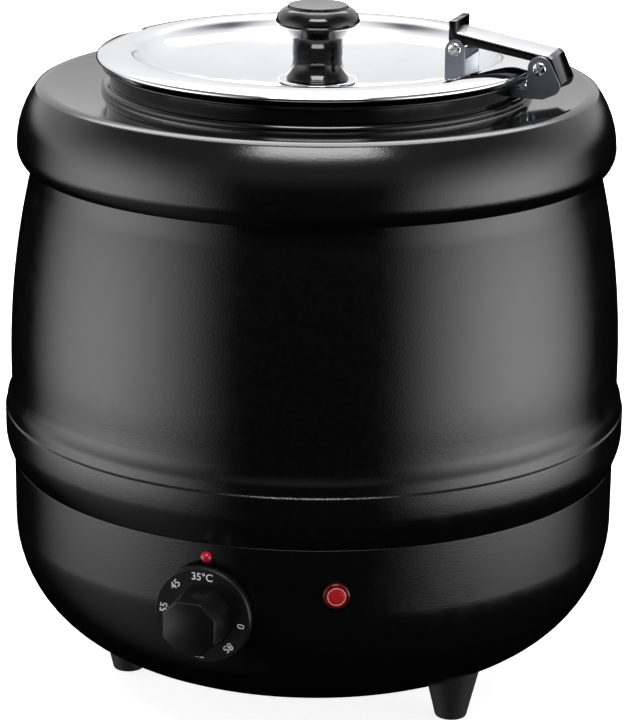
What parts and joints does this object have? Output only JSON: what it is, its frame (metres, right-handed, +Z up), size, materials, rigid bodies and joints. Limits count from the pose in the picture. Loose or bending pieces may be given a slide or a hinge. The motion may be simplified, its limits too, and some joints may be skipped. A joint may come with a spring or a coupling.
{
  "type": "soup kettle",
  "caption": "Buffet soup kettle: black barrel casing with a water bath, lift-out steel pot, hinged dished lid, dial and lamp.",
  "frame": {"origin": "centre of the footprint on the floor, on the kettle's axis", "axes": "+Z up along the kettle's axis, the control dial faces -Y, the lid hinge is on the +X side"},
  "size_m": [0.34, 0.384, 0.378],
  "materials": {
    "barrel_shell": "fine-grained black powder coat, satin sheen",
    "base_plate": "plain black coat",
    "base_screws": "plated fastener",
    "cable_gland": "black nylon",
    "capillary_tube": "copper-coloured tube",
    "collar": "fine-grained black powder coat, satin sheen, glossier on the deck",
    "collar_bosses": "plated fastener",
    "collar_screws": "plated fastener",
    "control_dial": "satin moulded plastic with a white scale",
    "earth_stud": "brass",
    "foot_nuts": "plated fastener",
    "foot_screws": "plated fastener",
    "front_left_foot": "matt moulded rubber",
    "front_right_foot": "matt moulded rubber",
    "gland_nut": "black nylon",
    "heater_clamp": "plain plate",
    "heater_clamp_nut": "plated fastener",
    "heating_element": "dull heated tube",
    "hinge_arm": "gloss black coat",
    "index_bead": "glossy red bead",
    "inner_hinge_pin": "plated fastener",
    "inner_pot": "drawn stainless, polished inside, rolled rim",
    "internal_wires": "silicone insulation",
    "knob_screw": "plated fastener",
    "knob_washer": "plated fastener",
    "lamp_bezel": "bright thin ring",
    "lamp_holder": "moulded holder",
    "lamp_lens": "translucent red lens",
    "lid": "mirror polished stainless",
    "lid_bracket": "zinc grey plate",
    "lid_knob": "glossy moulded phenolic",
    "lid_ring": "gloss black coat",
    "lid_rivets": "plated fastener",
    "lower_bowl": "fine-grained black powder coat, satin sheen",
    "outer_hinge_pin": "plated fastener",
    "rear_foot": "matt moulded rubber",
    "ring_bracket": "zinc grey plate",
    "ring_rivets": "plated fastener",
    "sensor_bulb": "copper-coloured bulb",
    "terminal_block": "unglazed ceramic",
    "terminal_screws": "brass",
    "thermal_cutout": "phenolic can",
    "thermostat_body": "cream moulded case",
    "thermostat_pad": "plain plate",
    "thermostat_screws": "plated fastener",
    "thermostat_shaft": "plated fastener",
    "water_well": "drawn stainless, satin"
  },
  "bodies": {
    "casing": {"barrel_shell": "barrel_shell", "base_plate": "base_plate", "base_screws": "base_screws", "cable_gland": "cable_gland", "capillary_tube": "capillary_tube", "collar": "collar", "collar_bosses": "collar_bosses", "collar_screws": "collar_screws", "earth_stud": "earth_stud", "foot_nuts": "foot_nuts", "foot_screws": "foot_screws", "front_left_foot": "front_left_foot", "front_right_foot": "front_right_foot", "gland_nut": "gland_nut", "heater_clamp": "heater_clamp", "heater_clamp_nut": "heater_clamp_nut", "heating_element": "heating_element", "index_bead": "index_bead", "internal_wires": "internal_wires", "lamp_bezel": "lamp_bezel", "lamp_holder": "lamp_holder", "lamp_lens": "lamp_lens", "lower_bowl": "lower_bowl", "rear_foot": "rear_foot", "sensor_bulb": "sensor_bulb", "terminal_block": "terminal_block", "terminal_screws": "terminal_screws", "thermal_cutout": "thermal_cutout", "thermostat_body": "thermostat_body", "thermostat_pad": "thermostat_pad", "thermostat_screws": "thermostat_screws", "water_well": "water_well"},
    "inner_pot": {"inner_pot": "inner_pot"},
    "lid_ring": {"lid_ring": "lid_ring", "ring_bracket": "ring_bracket", "ring_rivets": "ring_rivets", "outer_hinge_pin": "outer_hinge_pin"},
    "hinge_arm": {"hinge_arm": "hinge_arm"},
    "lid": {"lid": "lid", "lid_bracket": "lid_bracket", "lid_rivets": "lid_rivets", "inner_hinge_pin": "inner_hinge_pin", "lid_knob": "lid_knob", "knob_washer": "knob_washer", "knob_screw": "knob_screw"},
    "dial": {"control_dial": "control_dial", "thermostat_shaft": "thermostat_shaft"}
  },
  "joints": [
    {"name": "pot_lift", "type": "slide", "parent": "casing", "child": "inner_pot", "axis": [0, 0, 1], "range_m": [0, 0.25]},
    {"name": "ring_lift", "type": "slide", "parent": "inner_pot", "child": "lid_ring", "axis": [0, 0, 1], "range_m": [0, 0.05]},
    {"name": "arm_pivot", "type": "hinge", "parent": "lid_ring", "child": "hinge_arm", "pos_m": [0.126, 0, 0.3551], "axis": [0, 1, 0], "range_deg": [0, 100]},
    {"name": "lid_pivot", "type": "hinge", "parent": "hinge_arm", "child": "lid", "pos_m": [0.0803, 0, 0.362], "axis": [0, 1, 0], "range_deg": [0, 15]},
    {"name": "dial_turn", "type": "hinge", "parent": "casing", "child": "dial", "pos_m": [0, -0.168, 0.0945], "axis": [0, -1, 0], "range_deg": [-222, 98]}
  ],
  "couplings": [
    {"joint": "lid_pivot", "follows": "arm_pivot", "ratio": 0.15}
  ]
}
